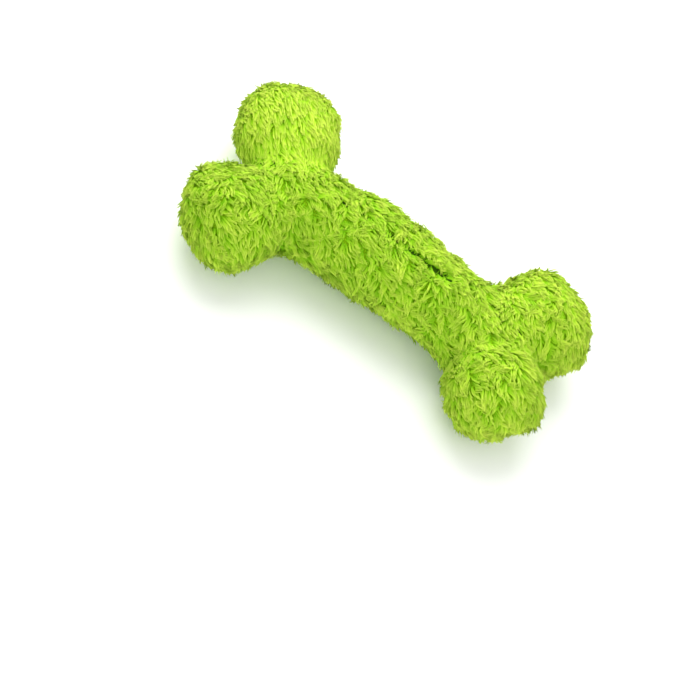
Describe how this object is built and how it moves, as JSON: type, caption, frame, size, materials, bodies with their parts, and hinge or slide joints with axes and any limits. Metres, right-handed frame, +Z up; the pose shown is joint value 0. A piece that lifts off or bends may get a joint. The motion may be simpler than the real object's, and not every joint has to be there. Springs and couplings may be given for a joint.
{
  "type": "squeaky plush dog toy",
  "caption": "Bone-shaped plush dog toy: sewn long-pile fleece over polyester stuffing, with a press-to-squeak bellows and reed inside the shaft.",
  "frame": {"origin": "on the floor plane under the knobs, at the middle of the bone's length and width", "axes": "+X along the shaft towards the end with the closer knobs, +Y towards the back, +Z up through the squeaker"},
  "size_m": [0.234, 0.127, 0.0545],
  "materials": {
    "lime_fleece": "long shaggy polyester pile, lime green, darker at the roots",
    "lime_thread": "twisted polyester sewing thread dyed to match",
    "polyester_fill": "white polyester fibrefill, fluffy and matt",
    "soft_polyethylene": "milky blow-moulded polyethylene",
    "hard_polystyrene": "ivory moulded polystyrene",
    "reed_film": "thin clear-grey plastic strip"
  },
  "bodies": {
    "bone": {"upper_fleece_panel": "lime_fleece", "lower_fleece_panel": "lime_fleece", "edge_seam_thread": "lime_thread", "closing_stitches": "lime_thread", "shaft_fill_left": "polyester_fill", "shaft_fill_right": "polyester_fill", "knob_fill_left_back": "polyester_fill", "knob_fill_left_front": "polyester_fill", "knob_fill_right_back": "polyester_fill", "knob_fill_right_front": "polyester_fill", "squeaker_base": "soft_polyethylene", "squeaker_bellows": "soft_polyethylene", "reed_tube": "hard_polystyrene", "reed_clamp": "hard_polystyrene"},
    "squeaker_top": {"squeaker_cap": "soft_polyethylene", "squeaker_fill_pad": "polyester_fill"},
    "reed": {"reed_tongue": "reed_film"}
  },
  "joints": [
    {"name": "squeeze", "type": "slide", "parent": "bone", "child": "squeaker_top", "axis": [0, 0, -1], "range_m": [0, 0.008], "stiffness_N_per_m": 800, "deforming": ["squeaker_bellows"]},
    {"name": "reed_flutter", "type": "hinge", "parent": "bone", "child": "reed", "pos_m": [0, 0, 0.018], "axis": [0, 1, 0], "range_deg": [-3, 8], "stiffness_Nm_per_rad": 0.0005}
  ]
}
